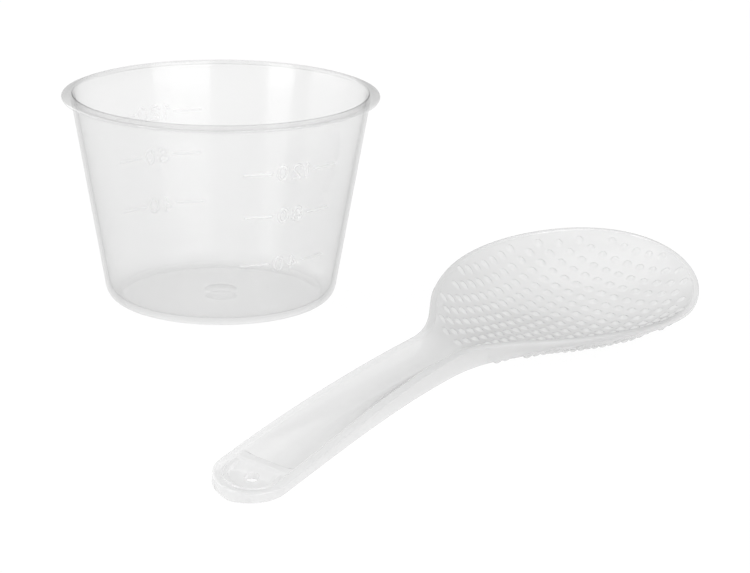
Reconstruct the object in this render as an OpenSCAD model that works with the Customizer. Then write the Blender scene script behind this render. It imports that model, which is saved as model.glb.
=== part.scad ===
// Measuring cup and rice paddle: the two loose plastic pieces that come with a rice cooker.
// The frame's origin is the centre of the cup's foot, on the table. +Z is up.

/* [Measuring cup] */
// Height from the table to the top of the rim
cup_height = 53.6; // [50:0.1:60]
// Outer radius of the wall at the top
cup_top_r = 37.95; // [36:0.05:40]
// Outer radius that the wall's slope would reach at the table
cup_base_r = 28.8; // [26:0.1:31]
// Thickness of the wall
cup_wall = 1.1; // [0.8:0.1:1.6]
// Thickness of the floor
cup_floor = 1.8; // [1:0.1:2.5]
// Outer radius of the round edge between wall and foot
foot_round = 4.5; // [3:0.1:6]
// How far the rim stands out past the wall
rim_reach = 2.15; // [1.5:0.05:4]
// Thickness of the rim
rim_thick = 0.9; // [0.8:0.1:1.6]
// How far the rim's outer edge droops below its inner edge
rim_droop = 0.5; // [0:0.05:0.8]
// Radius of the dimple under the floor where the plastic was let in
gate_r = 4.35; // [3:0.05:6]
// Depth of that dimple, which is also the rise of the dome inside
gate_rise = 0.7; // [0.4:0.1:1]

/* [Graduations] */
// Volume between one mark and the next, in millilitres
mark_step = 40; // [30:5:45]
// Number of marks in a column
mark_count = 3; // [1:1:3]
// Turn of the first column from +X; the second is opposite
mark_turn = -57; // [-180:1:180]
// Height of a digit
digit_h = 4.0; // [3:0.1:5]
// Width of a digit
digit_w = 2.9; // [2:0.1:3.2]
// Gap between two digits
digit_gap = 1.1; // [0.6:0.1:1.5]
// Width of the strokes
stroke = 0.5; // [0.3:0.05:0.7]
// Length of the line on each side of a number
line_len = 7.0; // [3:0.1:8]
// Gap between the line and the number
line_gap = 1.4; // [0.8:0.1:3]
// How far the strokes stand out of the wall
relief = 0.3; // [0.2:0.05:0.5]

/* [Rice paddle: plan] */
// Whole length
paddle_len = 185.0; // [172:0.1:196]
// Length of the rounded end of the handle
end_len = 8.4; // [7.5:0.1:10]
// Handle's width behind the rounded end
handle_w = 17.1; // [15:0.1:22]
// Handle's width at the neck
neck_w = 13.4; // [12:0.1:18]
// Distance from the handle's end to the neck
neck_at = 81; // [70:1:86]
// Distance from the handle's end to the steepest part of the shoulder
shoulder_at = 114.9; // [110:0.1:118]
// Width there
shoulder_w = 41.5; // [36:0.1:45]
// Slope of each side there
shoulder_slope = 0.4; // [0.3:0.01:0.6]
// Distance from the handle's end to the widest part of the head
head_at = 150.5; // [144:0.1:154]
// Width of the head
head_w = 58.2; // [54:0.1:64]

/* [Rice paddle: side] */
// Height of the rim above the table at the handle's end
end_h = 2.7; // [2.2:0.1:4]
// Slope of the rim at the handle's end
end_slope = 0.18; // [0:0.01:0.25]
// Height of the rim where the handle meets the head
neck_h = 13.2; // [10:0.1:15]
// Distance from the handle's end to that crest
crest_at = 87.5; // [80:0.5:95]
// Height of the rim at the low part of the head
belly_h = 11.9; // [9.5:0.1:13]
// Distance from the handle's end to the low part
belly_at = 148; // [140:0.5:152]
// Height of the rim at the tip
tip_h = 15.9; // [13:0.1:20]
// Height of the side wall at the neck
neck_wall = 5.7; // [4:0.1:6]
// Distance from the handle's end to where the square section has turned into the bowl's
bowl_from = 115; // [110:0.5:140]
// Height of the outer edge around the head
head_edge = 1.0; // [0.8:0.1:2]
// Depth of the bowl below its rim
bowl_depth = 9.1; // [7:0.1:9.8]
// Distance from the handle's end to the deepest part of the bowl
bowl_at = 142.6; // [138:0.1:148]
// Thickness of the plastic in the bowl and the handle's trough
shell = 1.3; // [1:0.1:1.8]
// Width of the rim along the handle
handle_rim = 2.0; // [1.6:0.1:3]
// Width of the rim around the head
head_rim = 1.5; // [1:0.1:2.2]

/* [Rice paddle: handle end] */
// Distance from the handle's end to the cross rib
rib_at = 12.4; // [11.5:0.1:15]
// Thickness of the cross rib
rib_t = 1.1; // [0.8:0.1:2]
// Depth of the pocket in the handle's end
pocket_depth = 1.3; // [0.8:0.1:1.6]
// Radius of the hole that it hangs by
hang_r = 1.6; // [1.2:0.1:2]
// Distance from the handle's end to that hole
hang_at = 8.2; // [6:0.1:9]

/* [How the set stands] */
// Distance of the handle's end from the cup's axis, along X
paddle_x = 9.5; // [0:0.1:20]
// Distance of the handle's end from the cup's axis, along Y
paddle_y = -150.1; // [-180:0.1:-145]
// Turn of the paddle from +X
paddle_turn = 58.4; // [50:0.1:62]
// How far the paddle has rolled towards its near side
paddle_roll = 8; // [0:0.5:10]

/* [Hidden] */
$fn = 96;

// ---- shared curves ----

function smooth(t) = t <= 0 ? 0 : t >= 1 ? 1 : t * t * (3 - 2 * t);

function mix(a, b, t) = a + (b - a) * t;

// Cubic from height a, slope m, to height b, slope n, over a run
function ease(a, b, m, n, run, t) =
    a * (1 + 2 * t) * pow(1 - t, 2) + b * t * t * (3 - 2 * t)
    + run * (m * t * pow(1 - t, 2) - n * t * t * (1 - t));

function arc(cx, cy, r, from, to, steps) =
    [for (i = [0:steps]) let (a = from + (to - from) * i / steps)
        [cx + r * cos(a), cy + r * sin(a)]];

// ---- measuring cup ----

// Outward lean of the wall, and its radius at a height
lean = atan((cup_top_r - cup_base_r) / cup_height);
function wall_r(z) = cup_base_r + z * tan(lean);

// Wall thickness measured level, and the inner radius at a height
wall_level = cup_wall / cos(lean);
function inner_r(z) = wall_r(z) - wall_level;

arc_steps = 8;
foot_flat = wall_r(foot_round) - foot_round / cos(lean);
inner_round = foot_round - cup_wall;
inner_flat = inner_r(cup_floor + inner_round) - inner_round / cos(lean);
edge_r = rim_thick / 2;
gate_dome = (gate_r * gate_r + gate_rise * gate_rise) / (2 * gate_rise);

cup_profile = concat(
    [[0, 0], [foot_flat, 0]],
    arc(foot_flat, foot_round, foot_round, -90, -lean, arc_steps),
    [[wall_r(cup_height - rim_thick), cup_height - rim_thick]],
    arc(cup_top_r + rim_reach - edge_r, cup_height - edge_r - rim_droop, edge_r, -90, 90, arc_steps),
    [[cup_top_r, cup_height], [inner_r(cup_height) + edge_r, cup_height]],
    [[inner_r(cup_height - edge_r), cup_height - edge_r]],
    arc(inner_flat, cup_floor + inner_round, inner_round, -lean, -90, arc_steps),
    [[0, cup_floor]]);

// Height that a volume in millilitres fills the inside to, from the cone's own formula.
// The round floor edge and the dome take up a little of that cone.
inner_slope = tan(lean);
floor_r = inner_r(cup_floor);
edge_loss = 2 * PI * inner_flat * inner_round * inner_round * (1 - PI / 4) * 0.75
    + PI * gate_rise * gate_r * gate_r / 2;
function fill_z(ml) =
    cup_floor + (pow(pow(floor_r, 3) + 3 * inner_slope * (ml * 1000 + edge_loss) / PI, 1 / 3)
    - floor_r) / inner_slope;

// Corners of each digit's strokes on a grid two wide and four high
function digit_strokes(d) =
    d == 0 ? [[[0, 1], [0.5, 0.2], [1.5, 0.2], [2, 1], [2, 3], [1.5, 3.8], [0.5, 3.8], [0, 3], [0, 1]]]
    : d == 1 ? [[[2, 0], [2, 4], [0, 3]]]
    : d == 2 ? [[[2, 0], [0, 0], [1.9, 2.4], [1.9, 3.3], [1.4, 4], [0.6, 4], [0.1, 3.3]]]
    : d == 3 ? [[[0, 0.7], [0.6, 0], [1.4, 0], [2, 0.7], [2, 1.4], [1.2, 2.1], [2, 2.8], [2, 3.4],
        [1.4, 4], [0.6, 4], [0, 3.4]]]
    : d == 4 ? [[[1.5, 0], [1.5, 4], [0, 1.2], [2, 1.2]]]
    : d == 5 ? [[[0, 0.6], [0.6, 0], [1.4, 0], [2, 0.7], [2, 1.7], [1.4, 2.4], [0.2, 2.2], [0.4, 4], [1.8, 4]]]
    : d == 6 ? [[[1.7, 3.8], [0.7, 3.4], [0, 2], [0, 0.8], [0.6, 0], [1.4, 0], [2, 0.7], [2, 1.6],
        [1.4, 2.3], [0.6, 2.3], [0, 1.5]]]
    : d == 7 ? [[[0, 4], [2, 4], [0.7, 0]]]
    : d == 8 ? [[[0.6, 2.1], [0, 2.8], [0, 3.4], [0.6, 4], [1.4, 4], [2, 3.4], [2, 2.8], [1.4, 2.1], [0.6, 2.1],
        [0, 1.4], [0, 0.7], [0.6, 0], [1.4, 0], [2, 0.7], [2, 1.4], [1.4, 2.1]]]
    : [[[0.3, 0.2], [1.3, 0.6], [2, 2], [2, 3.2], [1.4, 4], [0.6, 4], [0, 3.3], [0, 2.4], [0.6, 1.7],
        [1.4, 1.7], [2, 2.5]]];

function digits_of(n) = n < 10 ? [n] : concat(digits_of(floor(n / 10)), [n % 10]);

function width_of(d) = d == 1 ? digit_w / 2 : digit_w;

// Distance from the start of a number to the start of its digit i
function start_of(digits, i) =
    i == 0 ? 0 : start_of(digits, i - 1) + width_of(digits[i - 1]) + digit_gap;

module bar(from, to) {
    run = to - from;
    translate(from) rotate(atan2(run[1], run[0]))
        translate([-stroke / 2, -stroke / 2]) square([norm(run) + stroke, stroke]);
}

module digit_outline(d, facing) {
    size = [facing * (width_of(d) - stroke) / 2, (digit_h - stroke) / 4];
    for (line = digit_strokes(d), i = [1:len(line) - 1]) {
        bar([(line[i - 1][0] - 1) * size[0], (line[i - 1][1] - 2) * size[1]],
            [(line[i][0] - 1) * size[0], (line[i][1] - 2) * size[1]]);
    }
}

// A digit stands on the wall's slope, at a turn from the column's middle
module digit_on_wall(d, z, turn, facing) {
    rotate(turn) translate([wall_r(z), 0, z]) rotate([0, lean, 0])
        translate([-relief, 0, 0]) rotate([90, 0, 90])
        linear_extrude(2 * relief) digit_outline(d, facing);
}

module line_on_wall(z, from_turn, to_turn) {
    bottom = z - stroke / 2;
    top = z + stroke / 2;
    rotate(from_turn) rotate_extrude(angle = to_turn - from_turn)
        polygon([[wall_r(bottom) - relief, bottom], [wall_r(bottom) + relief, bottom],
            [wall_r(top) + relief, top], [wall_r(top) - relief, top]]);
}

function turn_of(run, z) = run / wall_r(z) * 180 / PI;

// Facing is 1 where the number reads from outside, -1 where it reads from inside
module mark(ml, facing) {
    z = fill_z(ml);
    digits = digits_of(ml);
    number_w = start_of(digits, len(digits)) - digit_gap;
    line_start = number_w / 2 + line_gap;
    for (i = [0:len(digits) - 1]) {
        digit_on_wall(digits[i], z,
            turn_of(facing * (start_of(digits, i) + width_of(digits[i]) / 2 - number_w / 2), z), facing);
    }
    for (side = [-1, 1]) {
        line_on_wall(z, turn_of(side > 0 ? line_start : -line_start - line_len, z),
            turn_of(side > 0 ? line_start + line_len : -line_start, z));
    }
}

module measuring_cup() {
    color([0.87, 0.88, 0.88])
    difference() {
        union() {
            rotate_extrude() polygon(cup_profile);
            translate([0, 0, cup_floor + gate_rise - gate_dome]) intersection() {
                sphere(gate_dome);
                translate([0, 0, gate_dome - gate_rise - cup_floor / 2])
                    cylinder(h = cup_floor + gate_rise, r = gate_r);
            }
            for (i = [1:mark_count]) {
                rotate(mark_turn) mark(i * mark_step, -1);
                rotate(mark_turn + 180) mark(i * mark_step, 1);
            }
        }
        translate([0, 0, gate_rise - gate_dome]) sphere(gate_dome);
    }
}

// ---- rice paddle, lying level along +X with its handle's end at the origin ----

tip_len = paddle_len - head_at;

function end_point(a) = [end_len * (1 - cos(a)), handle_w / 2 * sin(a)];
function handle_point(t) = [mix(end_len, neck_at, t), mix(handle_w, neck_w, smooth(t)) / 2];
function neck_point(t) = [mix(neck_at, shoulder_at, t),
    ease(neck_w / 2, shoulder_w / 2, 0, shoulder_slope, shoulder_at - neck_at, t)];
function shoulder_point(t) = [mix(shoulder_at, head_at, t),
    ease(shoulder_w / 2, head_w / 2, shoulder_slope, 0, head_at - shoulder_at, t)];
function tip_point(a) = [head_at + tip_len * sin(a), head_w / 2 * cos(a)];

// Half of the outline, from the handle's end to the tip
first_a = 10;
side_line = concat(
    [for (a = [first_a:16:74]) end_point(a)],
    [for (t = [0:1 / 8:0.9]) handle_point(t)],
    [for (t = [0:1 / 8:0.9]) neck_point(t)],
    [for (t = [0:1 / 7:0.9]) shoulder_point(t)],
    [for (a = [0:10:80]) tip_point(a)]);

function rim_h(u) =
    u < crest_at ? ease(end_h, neck_h, end_slope, 0, crest_at, u / crest_at)
    : u < belly_at ? mix(neck_h, belly_h, smooth((u - crest_at) / (belly_at - crest_at)))
    : mix(belly_h, tip_h, pow((u - belly_at) / (paddle_len - belly_at), 2));

// 0 along the handle, 1 in the head
function headness(u) = smooth((u - neck_at) / (bowl_from - neck_at));

function rim_w(u) = mix(handle_rim, head_rim, headness(u));

// Depth of the underside below the rim, along the middle
function under_depth(u) =
    let (wall = mix(end_h, neck_wall, smooth(u / crest_at)))
    u < bowl_at ? mix(wall, bowl_depth + shell, smooth((u - crest_at) / (bowl_at - crest_at)))
    : shell + bowl_depth * pow(max(0, 1 - pow((u - bowl_at) / (paddle_len - head_rim - bowl_at), 2)), 0.8);

trough_at = rib_at + rib_t;
function top_depth(u) = max(0, under_depth(u) - shell) * smooth((u - trough_at) / shell);

// Height of the outer edge, and how square the sections are
bottom_round = 0.45;
side_draft = 0.07;
function edge_h(u) = mix(under_depth(u) - bottom_round, head_edge, headness(u));
handle_square = 5;
bowl_round = 2.5;
trough_round = 1.8;
function under_power(u) = mix(handle_square, bowl_round, headness(u));
function top_power(u) = mix(trough_round, bowl_round, headness(u));

function outward(i) =
    let (run = side_line[min(i + 1, len(side_line) - 1)] - side_line[max(i - 1, 0)])
    [-run[1], run[0]] / norm(run);

across = 10;
function section(i) =
    let (p = side_line[i], u = p[0], z = rim_h(u), q = p - rim_w(u) * outward(i), uq = q[0],
        zq = rim_h(uq), e = edge_h(u))
    concat(
        [[u, p[1], z]],
        [for (k = [0:across]) let (s = 1 - 2 * k / across)
            [uq, q[1] * s, zq - top_depth(uq) * (1 - pow(abs(s), top_power(uq)))]],
        [[u, -p[1], z]],
        [for (k = [0:across]) let (s = 2 * k / across - 1, in = p - outward(i) * e * side_draft)
            [in[0], in[1] * s, z - e - max(0, under_depth(in[0]) - e) * (1 - pow(abs(s), under_power(u)))]]);

ring = 2 * across + 4;
rings = len(side_line);
last = (rings - 1) * ring;
paddle_points = [for (i = [0:rings - 1]) each section(i)];
top_span = [for (k = [0:across + 2]) k];
under_span = concat([for (k = [across + 2:ring - 1]) k], [0]);
paddle_faces = concat(
    [for (i = [0:rings - 2], k = [0:ring - 1])
        let (a = i * ring + k, b = i * ring + (k + 1) % ring)
        each [[a, a + ring, b], [b, a + ring, b + ring]]],
    [top_span, under_span],
    [[for (k = [across + 2:-1:0]) last + k], concat([last], [for (k = [ring - 1:-1:across + 2]) last + k])]);

// How far the rolled paddle is lifted so that its lowest point meets the table
paddle_lift = -min([for (p = paddle_points) p[1] * sin(paddle_roll) + p[2] * cos(paddle_roll)]);

// The pocket and its hole follow the slope of the rim at the handle's end
module pocket() {
    corner = handle_w / 2 - handle_rim;
    translate([0, 0, end_h]) rotate([0, -atan(end_slope), 0]) {
        translate([0, 0, -pocket_depth]) linear_extrude(2 * pocket_depth)
            polygon(concat(
                [for (a = [-90:10:90]) [handle_rim + (end_len - handle_rim) * (1 - cos(a)), corner * sin(a)]],
                [[rib_at, corner], [rib_at, -corner]]));
        translate([hang_at, 0, -2 * end_h]) cylinder(h = 3 * end_h, r = hang_r);
    }
}

module rice_paddle() {
    color([0.85, 0.86, 0.86])
    translate([paddle_x, paddle_y, paddle_lift]) rotate([0, 0, paddle_turn]) rotate([paddle_roll, 0, 0])
    difference() {
        polyhedron(paddle_points, paddle_faces);
        pocket();
    }
}

measuring_cup();
rice_paddle();
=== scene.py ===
import math

import bmesh
import bpy
import numpy as np
from mathutils import Matrix, Vector


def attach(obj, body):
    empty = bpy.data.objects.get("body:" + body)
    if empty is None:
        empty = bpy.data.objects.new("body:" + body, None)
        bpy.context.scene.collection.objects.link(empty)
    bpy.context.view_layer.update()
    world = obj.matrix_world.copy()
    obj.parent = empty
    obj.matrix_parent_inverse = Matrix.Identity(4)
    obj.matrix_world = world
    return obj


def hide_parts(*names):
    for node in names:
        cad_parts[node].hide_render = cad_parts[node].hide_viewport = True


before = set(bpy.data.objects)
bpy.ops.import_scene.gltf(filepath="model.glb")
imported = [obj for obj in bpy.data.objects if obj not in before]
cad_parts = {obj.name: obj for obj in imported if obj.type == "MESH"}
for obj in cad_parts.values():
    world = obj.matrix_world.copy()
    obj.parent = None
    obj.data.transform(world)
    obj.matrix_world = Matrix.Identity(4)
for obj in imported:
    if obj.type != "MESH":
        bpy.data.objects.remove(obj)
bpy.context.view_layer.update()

# ---- viewpoint -----------------------------------------------------------
# A long lens on a stand, a little above the table and looking slightly down
# on the set, with a touch of roll in its mounting.
viewpoint = bpy.data.cameras.new("viewpoint")
viewpoint.sensor_width = 36.0
viewpoint.lens = 144.0
viewpoint.clip_start = 0.05
viewpoint.clip_end = 20.0
stand = bpy.data.objects.new("viewpoint", viewpoint)
bpy.context.scene.collection.objects.link(stand)
lens_at = Vector((0.03947, -0.7376, 0.2204))
look_down, mount_roll = 16.42, 0.89
stand.matrix_world = (
    Matrix.Translation(lens_at)
    @ Matrix.Rotation(math.radians(90 - look_down), 4, "X")
    @ Matrix.Rotation(math.radians(mount_roll), 4, "Z")
)
bpy.context.scene.camera = stand

# ---- measuring cup --------------------------------------------------------
# One injection moulding in translucent polypropylene: tapered wall, thin
# flange, flat foot with a round edge. The gate left a dimple under the floor
# and a low dome inside it. Sizes in millimetres, as on a mould drawing.
MM = 0.001
cup_height, cup_top_r, cup_base_r = 53.6, 37.95, 28.8
cup_wall, cup_floor, foot_round = 1.1, 1.8, 4.5
flange_reach, flange_thick, flange_droop = 2.15, 0.9, 0.5
gate_r, gate_rise = 4.35, 0.7
wall_lean = math.atan((cup_top_r - cup_base_r) / cup_height)
wall_level = cup_wall / math.cos(wall_lean)


def cup_wall_r(z):
    """Radius of the wall's outer face at a height."""
    return cup_base_r + z * math.tan(wall_lean)


def sweep(centre_r, centre_z, radius, start, end, steps):
    """Points of an arc in the profile, from one angle to another in degrees."""
    turns = np.radians(np.linspace(start, end, steps + 1))
    return [(centre_r + radius * math.cos(a), centre_z + radius * math.sin(a)) for a in turns]


lean_deg = math.degrees(wall_lean)
gate_ball = (gate_r**2 + gate_rise**2) / (2 * gate_rise)
gate_turn = math.degrees(math.asin(gate_r / gate_ball))
foot_flat = cup_wall_r(foot_round) - foot_round / math.cos(wall_lean)
inner_round = foot_round - cup_wall
inner_flat = cup_wall_r(cup_floor + inner_round) - wall_level - inner_round / math.cos(wall_lean)
lip_r = flange_thick / 2
lip_z = cup_height - lip_r - flange_droop
under_flange = cup_height - flange_thick - 0.35
inner_top_r = cup_top_r - wall_level

# The graduations are raised strokes of the same moulding, in two columns opposite each other.
# The column at -57 degrees reads from inside the cup, and the one at 123 degrees from outside.
# The heights are those at which the inside holds 40, 80 and 120 millilitres.
mark_heights = {40: 16.77, 80: 29.49, 120: 40.71}
mark_columns = {-57.0: -1, 123.0: 1}
digit_h, digit_w, digit_gap = 4.0, 2.9, 1.1
stroke_w, stroke_rise, stroke_foot, stroke_slope = 0.52, 0.3, 0.62, 0.38
line_len, line_gap = 7.0, 1.4
mark_half_w, mark_half_h, mark_clear = 18, 2.3, 0.6


def bow(cx, cy, rx, ry, start, end, steps):
    """Points of an oval arc, in a digit's own grid of 2 across and 4 up."""
    turns = np.radians(np.linspace(start, end, steps + 1))
    return [(cx + rx * math.cos(a), cy + ry * math.sin(a)) for a in turns]


digit_paths = {
    0: [bow(1, 2, 1, 2, 0, 360, 20)],
    1: [[(0.2, 3.1), (1.6, 4), (1.6, 0)]],
    2: [bow(1, 3, 0.95, 1, 170, -20, 9) + [(0.95, 1.3), (0.1, 0), (2, 0)]],
    4: [[(2, 1.2), (0, 1.2), (1.5, 4), (1.5, 0)]],
    8: [bow(1, 3.05, 0.82, 0.95, 0, 360, 14), bow(1, 1.05, 1, 1.05, 0, 360, 16)],
}


def strokes_of(amount, facing):
    """The straight pieces of one mark, in millimetres across and up from its middle."""
    digits = [int(c) for c in str(amount)]
    widths = [digit_w * 0.5 if d == 1 else digit_w for d in digits]
    total = sum(widths) + digit_gap * (len(digits) - 1)
    pieces, start = [], -total / 2
    for d, width in zip(digits, widths):
        scale = (width - stroke_w) / (1.6 if d == 1 else 2.0)
        for path in digit_paths[d]:
            line = [
                (facing * (start + stroke_w / 2 + x * scale), (y - 2) * (digit_h - stroke_w) / 4)
                for x, y in path
            ]
            pieces += list(zip(line, line[1:]))
        start += width + digit_gap
    for side in (-1, 1):
        near = side * (total / 2 + line_gap)
        pieces.append(((near, 0), (near + side * line_len, 0)))
    return pieces


def stroke_height(turns, heights):
    """How far the marks stand out of the wall, at turns in degrees and heights in millimetres."""
    rise = np.zeros_like(turns)
    for column, facing in mark_columns.items():
        for amount, height in mark_heights.items():
            x = np.radians((turns - column + 180) % 360 - 180) * cup_wall_r(height)
            y = (heights - height) / math.cos(wall_lean)
            near = (abs(x) < mark_half_w) & (abs(y) < digit_h / 2 + mark_clear)
            if not near.any():
                continue
            x, y = x[near], y[near]
            gap = np.full_like(x, 9.0)
            for (x0, y0), (x1, y1) in strokes_of(amount, facing):
                length2 = max((x1 - x0)**2 + (y1 - y0)**2, 1e-9)
                along = np.clip(((x - x0) * (x1 - x0) + (y - y0) * (y1 - y0)) / length2, 0, 1)
                off = np.hypot(x - x0 - along * (x1 - x0), y - y0 - along * (y1 - y0))
                gap = np.minimum(gap, off)
            top = np.clip((stroke_w * stroke_foot - gap) / (stroke_w * stroke_slope), 0, 1)
            rise[near] = np.maximum(rise[near], stroke_rise * top * top * (3 - 2 * top))
    return rise


def spaced_out(values):
    """The values in order, without any that lie closer together than 0.1."""
    values = np.unique(np.round(values, 3))
    return values[np.r_[True, np.diff(values) > 0.1]]


# The wall's facets are fine under the marks and plain elsewhere: turns in degrees, rows in height.
plain_turn, mark_turn, fine_turn, fine_row = 1.5, 25.2, 0.28, 0.17
plain_turns = np.arange(0, 360, plain_turn)
mark_turns = [np.arange(c - mark_turn, c + mark_turn, fine_turn) % 360 for c in mark_columns]
cup_turns = spaced_out(np.concatenate([plain_turns] + mark_turns))
plain_rows = np.linspace(foot_round + 2, under_flange - 1, 14)
mark_rows = [
    np.arange(height - mark_half_h, height + mark_half_h + 0.01, fine_row)
    for height in mark_heights.values()
]
wall_rows = spaced_out(np.concatenate([plain_rows] + mark_rows))

# The profile runs from the dimple under the floor, out over the foot, up the wall's outside,
# round the flange, down the inside and in over the floor to the low dome. The flange has a
# small fillet at its root, a round lip, a drooping top and a rounded inner edge.
root_out, root_up, under_out, under_up = 0.12, 0.22, 0.55, 0.06
droop_points = [(0.9, 0.22), (0.15, 0.06), (-0.1, 0.0)]
inner_edge, edge_shift, edge_top = 0.4, 0.38, 0.42
cup_profile = [(0.0, gate_rise)]
cup_profile += sweep(0, gate_rise - gate_ball, gate_ball, 90 - gate_turn / 8, 90 - gate_turn, 7)
cup_profile += [(gate_r + 0.25, 0.0), (gate_r + 3, 0.0), (foot_flat - 6, 0.0), (foot_flat, 0.0)]
cup_profile += sweep(foot_flat, foot_round, foot_round, -80, -lean_deg, 8)
cup_profile = [(r, z, False) for r, z in cup_profile]
cup_profile += [(cup_wall_r(z), z, True) for z in wall_rows]
cup_upper = [(cup_wall_r(under_flange), under_flange)]
cup_upper += [(cup_wall_r(under_flange) + root_out, under_flange + root_up)]
cup_upper += [(cup_top_r + under_out, lip_z - lip_r + under_up)]
cup_upper += sweep(cup_top_r + flange_reach - lip_r, lip_z, lip_r, -90, 80, 9)
cup_upper += [(cup_top_r + out, cup_height - down) for out, down in droop_points]
cup_upper += [(inner_top_r + edge_top, cup_height)]
cup_upper += sweep(inner_top_r + edge_shift, cup_height - inner_edge, inner_edge, 70, 180, 6)
cup_upper += [
    (cup_wall_r(z) - wall_level, z)
    for z in np.linspace(cup_height - 2, cup_floor + inner_round + 1.5, 14)
]
cup_upper += sweep(inner_flat, cup_floor + inner_round, inner_round, -lean_deg, -90, 8)
cup_upper += [(inner_flat - 4, cup_floor), (gate_r + 3, cup_floor), (gate_r + 0.2, cup_floor)]
dome_z = cup_floor + gate_rise - gate_ball
cup_upper += sweep(0, dome_z, gate_ball, 90 - gate_turn, 90 - gate_turn / 8, 7)
cup_upper += [(0.0, cup_floor + gate_rise)]
cup_profile += [(r, z, False) for r, z in cup_upper]

# Each point of the profile is turned round the cup. "raised" is 1 on top of a mark, 0 on the
# plain wall and below 0 on both faces of the floor, which are polished clearer than the wall.
floor_polish = 0.48
cup_shape = bmesh.new()
cup_rings, cup_raised = [], []
for r, z, outer in cup_profile:
    if r < 1e-6:
        cup_rings.append([cup_shape.verts.new((0, 0, z * MM))])
        cup_raised.append(0.0)
        continue
    proud = np.zeros_like(cup_turns)
    if outer:
        proud = stroke_height(cup_turns, np.full_like(cup_turns, z))
    polished = abs(z) < 1e-6 or abs(z - cup_floor) < 1e-6
    cup_raised += (proud / stroke_rise - floor_polish * polished).tolist()
    reach = (r + proud * math.cos(wall_lean)) * MM
    lift = (z - proud * math.sin(wall_lean)) * MM
    cup_rings.append([
        cup_shape.verts.new((q * math.cos(a), q * math.sin(a), h))
        for q, h, a in zip(reach, lift, np.radians(cup_turns))
    ])
for low, high in zip(cup_rings, cup_rings[1:]):
    for i in range(len(cup_turns)):
        j = (i + 1) % len(cup_turns)
        corners = [low[i % len(low)], low[j % len(low)], high[j % len(high)], high[i % len(high)]]
        cup_shape.faces.new(list(dict.fromkeys(corners)))
bmesh.ops.recalc_face_normals(cup_shape, faces=cup_shape.faces)
cup_mesh = bpy.data.meshes.new("cup_body")
cup_shape.to_mesh(cup_mesh)
cup_shape.free()
cup_mesh.attributes.new("raised", "FLOAT", "POINT").data.foreach_set("value", cup_raised)
cup_mesh.shade_smooth()
cup_body = bpy.data.objects.new("cup_body", cup_mesh)
bpy.context.scene.collection.objects.link(cup_body)


def finish_value(tree, operation, first, second):
    """A Math node on two values, each a number or another node's output."""
    step = tree.nodes.new("ShaderNodeMath")
    step.operation = operation
    for socket, value in zip(step.inputs, (first, second)):
        if isinstance(value, float):
            socket.default_value = value
        else:
            tree.links.new(value, socket)
    return step.outputs[0]


def finish_span(tree, value, low, high, clamp=True):
    """A value from 0 to 1 brought to the span from low to high."""
    span = tree.nodes.new("ShaderNodeMapRange")
    span.clamp = clamp
    span.inputs["To Min"].default_value = low
    span.inputs["To Max"].default_value = high
    tree.links.new(value, span.inputs["Value"])
    return span.outputs["Result"]


def finish_mix(tree, share, first, second):
    """Two shaders mixed; the second one's share is a number or another node's output."""
    mix = tree.nodes.new("ShaderNodeMixShader")
    if isinstance(share, float):
        mix.inputs["Fac"].default_value = share
    else:
        tree.links.new(share, mix.inputs["Fac"])
    tree.links.new(first, mix.inputs[1])
    tree.links.new(second, mix.inputs[2])
    return mix.outputs["Shader"]


def melt_noise(tree, place, scale, detail):
    """Noise of the plastic's own, fixed to the piece."""
    noise = tree.nodes.new("ShaderNodeTexNoise")
    noise.inputs["Scale"].default_value = scale
    noise.inputs["Detail"].default_value = detail
    tree.links.new(place.outputs["Object"], noise.inputs["Vector"])
    return noise.outputs["Fac"]


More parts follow.
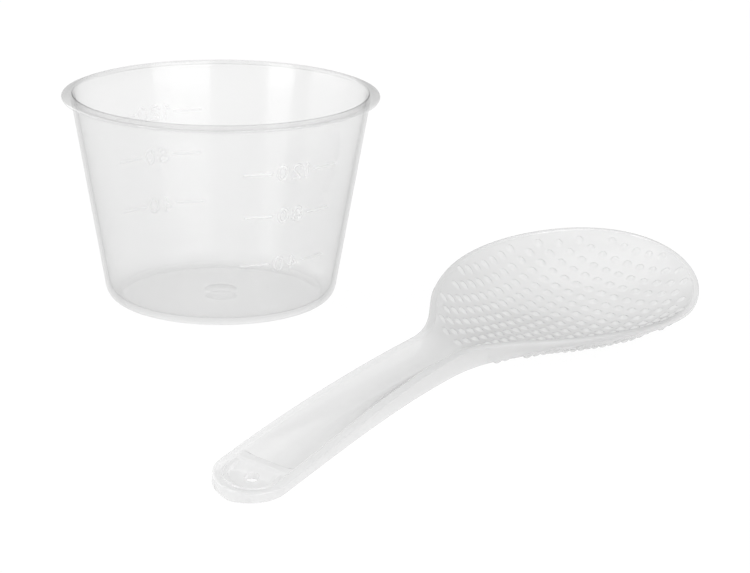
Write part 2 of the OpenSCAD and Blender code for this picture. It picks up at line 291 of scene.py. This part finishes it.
def moulded_polypropylene(
        name, tint, haze, mark_haze, depth_shade, sheen_rough, grain, grain_depth):
    """Translucent polypropylene: its skin gleams, some light scatters and the rest dims inside.

    haze is the share of light that scatters at each face, and mark_haze that on a raised mark.
    depth_shade sets how fast light dims along its way through the plastic.
    """
    material = bpy.data.materials.new(name)
    material.use_nodes = True
    tree = material.node_tree
    nodes, links = tree.nodes, tree.links
    nodes.clear()
    place = nodes.new("ShaderNodeTexCoord")

    # Slow clouds in the melt shift the tint and the smoothness of the skin a little.
    cloud = melt_noise(tree, place, 45.0, 3.0)
    shade = nodes.new("ShaderNodeValToRGB")
    for stop, at, depth in zip(shade.color_ramp.elements, (0.3, 0.7), (0.97, 1.0)):
        stop.position = at
        stop.color = [c * depth for c in tint] + [1]
    links.new(cloud, shade.inputs["Fac"])
    rub = finish_span(tree, cloud, sheen_rough - 0.02, sheen_rough + 0.03)

    # The fine grain of the mould.
    relief = nodes.new("ShaderNodeBump")
    relief.inputs["Strength"].default_value = 0.35
    relief.inputs["Distance"].default_value = grain_depth
    links.new(melt_noise(tree, place, grain, 2.0), relief.inputs["Height"])

    # Scattered light leaves on the lit side and, less, on the other side.
    milk = nodes.new("ShaderNodeBsdfDiffuse")
    lit_through = nodes.new("ShaderNodeBsdfTranslucent")
    links.new(shade.outputs["Color"], milk.inputs["Color"])
    links.new(shade.outputs["Color"], lit_through.inputs["Color"])
    scatter = finish_mix(tree, 0.4, milk.outputs["BSDF"], lit_through.outputs["BSDF"])
    raised = nodes.new("ShaderNodeAttribute")
    raised.attribute_name = "raised"
    cloudy_share = finish_span(tree, raised.outputs["Fac"], haze, mark_haze, clamp=False)
    passing = nodes.new("ShaderNodeBsdfTransparent")
    cloudy = finish_mix(tree, cloudy_share, passing.outputs["BSDF"], scatter)

    # The skin reflects on its outer side only.
    skin = nodes.new("ShaderNodeBsdfGlossy")
    links.new(rub, skin.inputs["Roughness"])
    gleam = nodes.new("ShaderNodeFresnel")
    gleam.inputs["IOR"].default_value = 1.49
    for node in (milk, skin, gleam):
        links.new(relief.outputs["Normal"], node.inputs["Normal"])
    side = nodes.new("ShaderNodeNewGeometry")
    outer_side = finish_value(tree, "SUBTRACT", 1.0, side.outputs["Backfacing"])
    outer_gleam = finish_value(tree, "MULTIPLY", gleam.outputs["Fac"], outer_side)
    whole = finish_mix(tree, outer_gleam, cloudy, skin.outputs["BSDF"])

    inside = nodes.new("ShaderNodeVolumeAbsorption")
    inside.inputs["Color"].default_value = (0.5, 0.5, 0.5, 1)
    inside.inputs["Density"].default_value = depth_shade
    finish = nodes.new("ShaderNodeOutputMaterial")
    links.new(whole, finish.inputs["Surface"])
    links.new(inside.outputs["Volume"], finish.inputs["Volume"])
    return material


cup_plastic = moulded_polypropylene(
    "cup_polypropylene", (0.9, 0.9, 0.9), haze=0.2, mark_haze=0.6, depth_shade=64.0,
    sheen_rough=0.15, grain=2600.0, grain_depth=0.00001)
cup_body.data.materials.append(cup_plastic)
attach(cup_body, "cup")
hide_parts("measuring_cup")

# ---- rice paddle ---------------------------------------------------------
# One moulding in frosted polypropylene: a shallow bowl whose rim runs on
# along the channelled handle, with nubs on both faces that keep rice from
# sticking, and a ribbed pocket with a hanging hole at the handle's end.
paddle_len, end_len, handle_w, neck_w, neck_at = 185.0, 8.4, 17.1, 13.4, 81.0
shoulder_at, shoulder_w, shoulder_slope, head_at, head_w = 114.9, 41.5, 0.4, 150.5, 58.2
end_h, end_slope, neck_h, crest_at = 2.7, 0.18, 13.2, 87.5
belly_h, belly_at, tip_h = 11.9, 148.0, 15.9
neck_wall, bowl_from, head_edge = 5.7, 115.0, 1.0
bowl_depth, bowl_at, bowl_fullness, shell = 9.1, 142.6, 0.8, 1.3
trough_power, bowl_extra, handle_square, bowl_square = 1.6, 0.9, 5, 2.5
handle_rim, head_rim, rim_soft = 2.0, 1.5, 0.3
low_edge_rise, wall_draft = 0.45, 0.07
rib_at, rib_t, pocket_depth, ledge_depth, ledge_w = 12.4, 1.1, 1.3, 0.3, 1.1
pocket_corner, ramp_len, end_zone = 1.6, 3.4, 30
hang_r, hang_at, hang_sides = 1.6, 8.2, 40
paddle_at, paddle_turn, paddle_roll = (9.5, -150.1, 0.1222), 58.4, 8.0


def smooth(t):
    """A soft step from 0 to 1."""
    t = np.clip(t, 0, 1)
    return t * t * (3 - 2 * t)


def ease(a, b, m, n, run, t):
    """A smooth line from a to b over a run, with slopes m and n at its ends."""
    ends = a * (1 + 2 * t) * (1 - t)**2 + b * t * t * (3 - 2 * t)
    return ends + run * (m * t * (1 - t)**2 - n * t * t * (1 - t))


def rim_height(u):
    """Height of the rim's top at u, the length along the paddle from the handle's end."""
    handle = ease(end_h, neck_h, end_slope, 0, crest_at, np.clip(u / crest_at, 0, 1))
    shoulder = neck_h + (belly_h - neck_h) * smooth((u - crest_at) / (belly_at - crest_at))
    past_belly = np.clip(u - belly_at, 0, None) / (paddle_len - belly_at)
    tip = belly_h + (tip_h - belly_h) * past_belly**2
    return np.where(u < crest_at, handle, np.where(u < belly_at, shoulder, tip))


def headness(u):
    """0 along the handle, 1 in the head, and between them at the shoulders."""
    return smooth((u - neck_at) / (bowl_from - neck_at))


def under_depth(u):
    """How far the underside lies below the rim along the middle."""
    wall = end_h + (neck_wall - end_h) * smooth(u / crest_at)
    before = wall + (bowl_depth + shell - wall) * smooth((u - crest_at) / (bowl_at - crest_at))
    rest = np.clip(1 - ((u - bowl_at) / (paddle_len - head_rim - bowl_at))**2, 0, None)
    return np.where(u < bowl_at, before, shell + bowl_depth * rest**bowl_fullness)


def half_outline():
    """Half of the outline, from the handle's end to the tip, closely spaced in the head."""
    a = np.radians(np.r_[np.linspace(0, 30, 7), np.linspace(33, 87.5, 48)])
    end = np.c_[end_len * (1 - np.cos(a)), handle_w / 2 * np.sin(a)]
    t = np.r_[np.linspace(0, 0.1, 44, endpoint=False), np.linspace(0.1, 1, 50, endpoint=False)]
    handle = np.c_[
        end_len + (neck_at - end_len) * t,
        (handle_w + (neck_w - handle_w) * smooth(t)) / 2,
    ]
    t = np.linspace(0, 1, 76, endpoint=False)
    neck = np.c_[
        neck_at + (shoulder_at - neck_at) * t,
        ease(neck_w / 2, shoulder_w / 2, 0, shoulder_slope, shoulder_at - neck_at, t),
    ]
    t = np.linspace(0, 1, 104, endpoint=False)
    shoulder = np.c_[
        shoulder_at + (head_at - shoulder_at) * t,
        ease(shoulder_w / 2, head_w / 2, shoulder_slope, 0, head_at - shoulder_at, t),
    ]
    a = np.radians(np.r_[np.linspace(0, 60, 80, endpoint=False), np.linspace(60, 90, 26)])
    tip = np.c_[head_at + (paddle_len - head_at) * np.sin(a), head_w / 2 * np.cos(a)]
    return np.vstack([end, handle, neck, shoulder, tip])


outline = half_outline()
run = np.gradient(outline, axis=0)
run[0], run[-1] = (0, 1), (0, -1)
outward = np.c_[-run[:, 1], run[:, 0]] / np.hypot(*run.T)[:, None]
rim_w = handle_rim + (head_rim - handle_rim) * headness(outline[:, 0])
inner_line = outline - rim_w[:, None] * outward
inner_line[[0, -1], 1] = 0

nub_r, nub_rise, nub_reach, nub_clear = 1.0, 0.62, 1.6, 2.6
nub_first, row_gap, column_gap, column_shift = 180.33, 4.15, 3.61, 0.78
nub_rows = [nub_first - row_gap * i for i in range(21)]
nub_columns = [column_gap * k - column_shift for k in range(-7, 8)]


def nub_centres():
    """Where the nubs stand: a near-square grid, kept clear of the rim."""
    both = np.vstack([outline, outline * (1, -1)])
    centres = []
    for u in nub_rows:
        for v in nub_columns:
            from_rim = np.hypot(both[:, 0] - u, both[:, 1] - v).min()
            if from_rim > nub_clear and abs(v) < np.interp(u, *outline.T):
                centres.append((u, v))
    return np.array(centres)


nubs = nub_centres()


def nub_height(u, v):
    """How far the nubs stand out at each point: a low dome with a soft foot."""
    rise = np.zeros_like(u)
    for cu, cv in nubs:
        near = (abs(u - cu) < nub_reach) & (abs(v - cv) < nub_reach)
        r = np.hypot(u[near] - cu, v[near] - cv) / nub_r
        dome = np.where(r < 1, np.sqrt(np.clip(1 - (r * 0.94)**2, 0, 1)) - 0.34 * r**3, 0)
        one = nub_rise * np.clip(dome, 0, 1) * smooth((1.12 - r) / 0.2)
        rise[near] = np.maximum(rise[near], one)
    return rise


def pocket_cut(u, v):
    """Depth of the pocket: a low ledge inside the rim, steep walls and a ramp up to the rib."""
    end_line = outline[outline[:, 0] < end_zone]
    both = np.vstack([end_line, end_line * (1, -1)])
    inset = np.hypot(u[..., None] - both[:, 0], v[..., None] - both[:, 1]).min(axis=-1)
    ledge = ledge_depth * smooth((inset - handle_rim) / 0.3) * smooth((rib_at - 0.5 - u) / 0.8)
    corner = handle_w / 2 - handle_rim - ledge_w
    rounding = np.clip(abs(v) - corner + pocket_corner, 0, None) * 0.9
    ramp = np.clip((rib_at - 0.6 - u - rounding * 0.5) / ramp_len, 0, 1)
    wall = smooth((inset - handle_rim - ledge_w) / 0.5)
    return ledge + (pocket_depth - ledge_depth) * wall * smooth(ramp)


# Upper face: lines across from one side of the rim to the other, a little closer together
# beside the rim, that dip into the trough and the bowl.
across = 140
share = np.cos(np.linspace(0, math.pi, across + 1))
share = 0.45 * share + 0.55 * np.linspace(1, -1, across + 1)
u_grid = np.repeat(inner_line[:, :1], across + 1, axis=1)
v_grid = inner_line[:, 1:] * share[None]
past_rib = smooth((u_grid - rib_at - rib_t) / shell)
top_depth = np.clip(under_depth(u_grid) - shell, 0, None) * past_rib
trough = 1 - abs(share[None])**(trough_power + bowl_extra * headness(u_grid))
top_z = rim_height(u_grid) - top_depth * trough + nub_height(u_grid, v_grid)
by_end = inner_line[:, 0] < rib_at + 1
top_z[by_end] -= pocket_cut(u_grid[by_end], v_grid[by_end])

# Lower face: it starts at the foot of the outer edge and bellies down, squarer under the handle.
edge = under_depth(outline[:, 0]) - low_edge_rise
edge = edge + (head_edge - edge) * headness(outline[:, 0])
low_line = outline - outward * (edge * wall_draft)[:, None]
low_line[[0, -1], 1] = 0
low_u = np.repeat(low_line[:, :1], across + 1, axis=1)
low_v = low_line[:, 1:] * share[None]
square = handle_square + (bowl_square - handle_square) * headness(low_u)
belly = np.clip(under_depth(low_u) - edge[:, None], 0, None) * (1 - abs(share[None])**square)
low_z = rim_height(outline[:, 0])[:, None] - edge[:, None] - belly - nub_height(low_u, low_v)


def rim_line(drop, inward, side):
    """A line along the rim: so far below its top and so far in from the outline."""
    line = outline - outward * np.minimum(inward, rim_w * 0.98)[:, None]
    line[[0, -1], 1] = 0
    return np.c_[line[:, 0], side * line[:, 1], rim_height(outline[:, 0]) - drop]


rim_round = [
    (rim_soft + 0.25, 0.0),
    (rim_soft * 0.55, rim_soft * 0.12),
    (rim_soft * 0.12, rim_soft * 0.55),
    (0.0, rim_soft * 1.3),
    (0.0, rim_w - rim_soft),
    (rim_soft * 0.2, rim_w - 0.08),
]
near_rim = [rim_line(drop, inward, 1) for drop, inward in rim_round]
far_rim = [rim_line(drop, inward, -1) for drop, inward in reversed(rim_round)]
top_z[:, [0, across]] -= rim_soft * 0.6
top = [np.c_[u_grid[:, k], v_grid[:, k], top_z[:, k]] for k in range(across + 1)]
low = [np.c_[low_u[:, k], low_v[:, k], low_z[:, k]] for k in range(across, -1, -1)]
loops = np.stack(near_rim + top + far_rim + low, axis=1)

lay = (
    Matrix.Translation(Vector(paddle_at))
    @ Matrix.Rotation(math.radians(paddle_turn), 4, "Z")
    @ Matrix.Rotation(math.radians(paddle_roll), 4, "X")
)
turn_and_place = np.array(lay)
placed = (loops.reshape(-1, 3) @ turn_and_place[:3, :3].T + turn_and_place[:3, 3]) * MM
stations, around = loops.shape[:2]
quads = []
for i in range(stations - 1):
    for k in range(around):
        n = (k + 1) % around
        quads.append((i * around + k, (i + 1) * around + k, (i + 1) * around + n, i * around + n))
paddle_mesh = bpy.data.meshes.new("paddle_body")
paddle_mesh.from_pydata(placed.tolist(), [], quads)
paddle_shape = bmesh.new()
paddle_shape.from_mesh(paddle_mesh)
bmesh.ops.remove_doubles(paddle_shape, verts=paddle_shape.verts, dist=0.000012)
bmesh.ops.dissolve_degenerate(paddle_shape, edges=paddle_shape.edges, dist=0.000008)
bmesh.ops.recalc_face_normals(paddle_shape, faces=paddle_shape.faces)
paddle_shape.to_mesh(paddle_mesh)
paddle_shape.free()

# The hanging hole is drilled square to the slope of the handle's end.
end_tilt = -math.atan(end_slope)
drill_lay = lay @ Matrix.Translation((0, 0, end_h)) @ Matrix.Rotation(end_tilt, 4, "Y")
drill = bmesh.new()
for height in (-6.0, 3.0):
    for a in np.linspace(0, 2 * math.pi, hang_sides, endpoint=False):
        spot = Vector((hang_at + hang_r * math.cos(a), hang_r * math.sin(a), height))
        drill.verts.new(drill_lay @ spot * MM)
drill.verts.ensure_lookup_table()
for i in range(hang_sides):
    j = (i + 1) % hang_sides
    drill.faces.new([drill.verts[k] for k in (i, j, hang_sides + j, hang_sides + i)])
drill.faces.new([drill.verts[i] for i in reversed(range(hang_sides))])
drill.faces.new([drill.verts[hang_sides + i] for i in range(hang_sides)])
bmesh.ops.recalc_face_normals(drill, faces=drill.faces)
drill_mesh = bpy.data.meshes.new("hanging_hole_drill")
drill.to_mesh(drill_mesh)
drill.free()
drill_piece = bpy.data.objects.new("hanging_hole_drill", drill_mesh)
bpy.context.scene.collection.objects.link(drill_piece)
paddle_body = bpy.data.objects.new("paddle_body", paddle_mesh)
bpy.context.scene.collection.objects.link(paddle_body)
cut = paddle_body.modifiers.new("hanging_hole", "BOOLEAN")
cut.operation, cut.solver, cut.object = "DIFFERENCE", "EXACT", drill_piece
result = paddle_body.evaluated_get(bpy.context.evaluated_depsgraph_get())
drilled = bpy.data.meshes.new_from_object(result)
paddle_body.modifiers.remove(cut)
paddle_body.data = drilled
paddle_body.data.name = "paddle_body"
bpy.data.meshes.remove(paddle_mesh)
bpy.data.objects.remove(drill_piece)
bpy.data.meshes.remove(drill_mesh)
paddle_body.data.shade_smooth()
paddle_body.data.set_sharp_from_angle(angle=math.radians(50))

paddle_plastic = moulded_polypropylene(
    "paddle_frosted_polypropylene", (0.88, 0.88, 0.88), haze=0.55, mark_haze=0.55,
    depth_shade=40.0, sheen_rough=0.14, grain=1800.0, grain_depth=0.00001)
paddle_body.data.materials.append(paddle_plastic)
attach(paddle_body, "paddle")
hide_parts("rice_paddle")

# ---- table and backdrop --------------------------------------------------
# A plain white board, painted matt, that runs out of sight under the set. It
# looks white as seen, in the skin's reflections and through the plastic.
board_half, board_z = 3, -0.0002
table_top = bpy.data.meshes.new("table_top")
corners = ((-1, -1), (1, -1), (1, 1), (-1, 1))
corners = [(x * board_half, y * board_half, board_z) for x, y in corners]
table_top.from_pydata(corners, [], [(0, 1, 2, 3)])
table = bpy.data.objects.new("table_top", table_top)
bpy.context.scene.collection.objects.link(table)
white_board = bpy.data.materials.new("white_board")
white_board.use_nodes = True
board_tree = white_board.node_tree
board_tree.nodes.clear()


def seen_directly(tree, rays):
    """1 for what is seen straight or through the plastic, from a Light Path node."""
    straight, through = rays.outputs["Is Camera Ray"], rays.outputs["Is Transmission Ray"]
    return finish_value(tree, "MAXIMUM", straight, through)


board_rays = board_tree.nodes.new("ShaderNodeLightPath")
direct = seen_directly(board_tree, board_rays)
shown = finish_value(board_tree, "MAXIMUM", direct, board_rays.outputs["Is Glossy Ray"])
paint = board_tree.nodes.new("ShaderNodeBsdfDiffuse")
paint.inputs["Color"].default_value = (0.62, 0.62, 0.62, 1)
glow = board_tree.nodes.new("ShaderNodeEmission")
glow.inputs["Strength"].default_value = 1.06
glow_share = finish_value(board_tree, "MULTIPLY", shown, 0.9)
board_finish = board_tree.nodes.new("ShaderNodeOutputMaterial")
board_look = finish_mix(board_tree, glow_share, paint.outputs["BSDF"], glow.outputs["Emission"])
board_tree.links.new(board_look, board_finish.inputs["Surface"])
table_top.materials.append(white_board)

# ---- lights --------------------------------------------------------------
# Soft boxes standing low to the left and right, a third behind on the left, and
# two panels hung over the table: one overhead and one further back. The walls are
# white, and light the set less than they look.
room = bpy.data.worlds.new("room")
bpy.context.scene.world = room
room.use_nodes = True
room_tree = room.node_tree
walls = room_tree.nodes["Background"]
walls.inputs["Color"].default_value = (1, 1, 1, 1)
room_rays = room_tree.nodes.new("ShaderNodeLightPath")
wall_light = finish_span(room_tree, seen_directly(room_tree, room_rays), 0.4, 1.0)
room_tree.links.new(wall_light, walls.inputs["Strength"])


def soft_box(name, at, towards, width, height, watts):
    """A flat lamp at one point, turned towards another."""
    lamp = bpy.data.lights.new(name, "AREA")
    lamp.shape = "RECTANGLE"
    lamp.size, lamp.size_y, lamp.energy = width, height, watts
    holder = bpy.data.objects.new(name, lamp)
    bpy.context.scene.collection.objects.link(holder)
    aim = (Vector(towards) - Vector(at)).to_track_quat("-Z", "Y")
    holder.matrix_world = Matrix.Translation(Vector(at)) @ aim.to_matrix().to_4x4()


soft_box("left_box", (-0.68, -0.62, 0.36), (0, -0.05, 0.05), 0.4, 0.7, 3.7)
soft_box("left_back_box", (-0.92, 0.25, 0.36), (0, -0.05, 0.05), 1.2, 0.7, 6.3)
soft_box("right_box", (0.564, -0.777, 0.36), (0.02, -0.05, 0.05), 0.92, 0.7, 6.1)
soft_box("overhead", (0.05, 0.35, 0.95), (0.03, -0.05, 0.0), 0.9, 0.5, 1.5)
soft_box("back_panel", (0.05, 1.2, 0.95), (0.05, 0, 0.1), 2.0, 0.6, 1.5)

bpy.context.scene.view_settings.view_transform = "Standard"
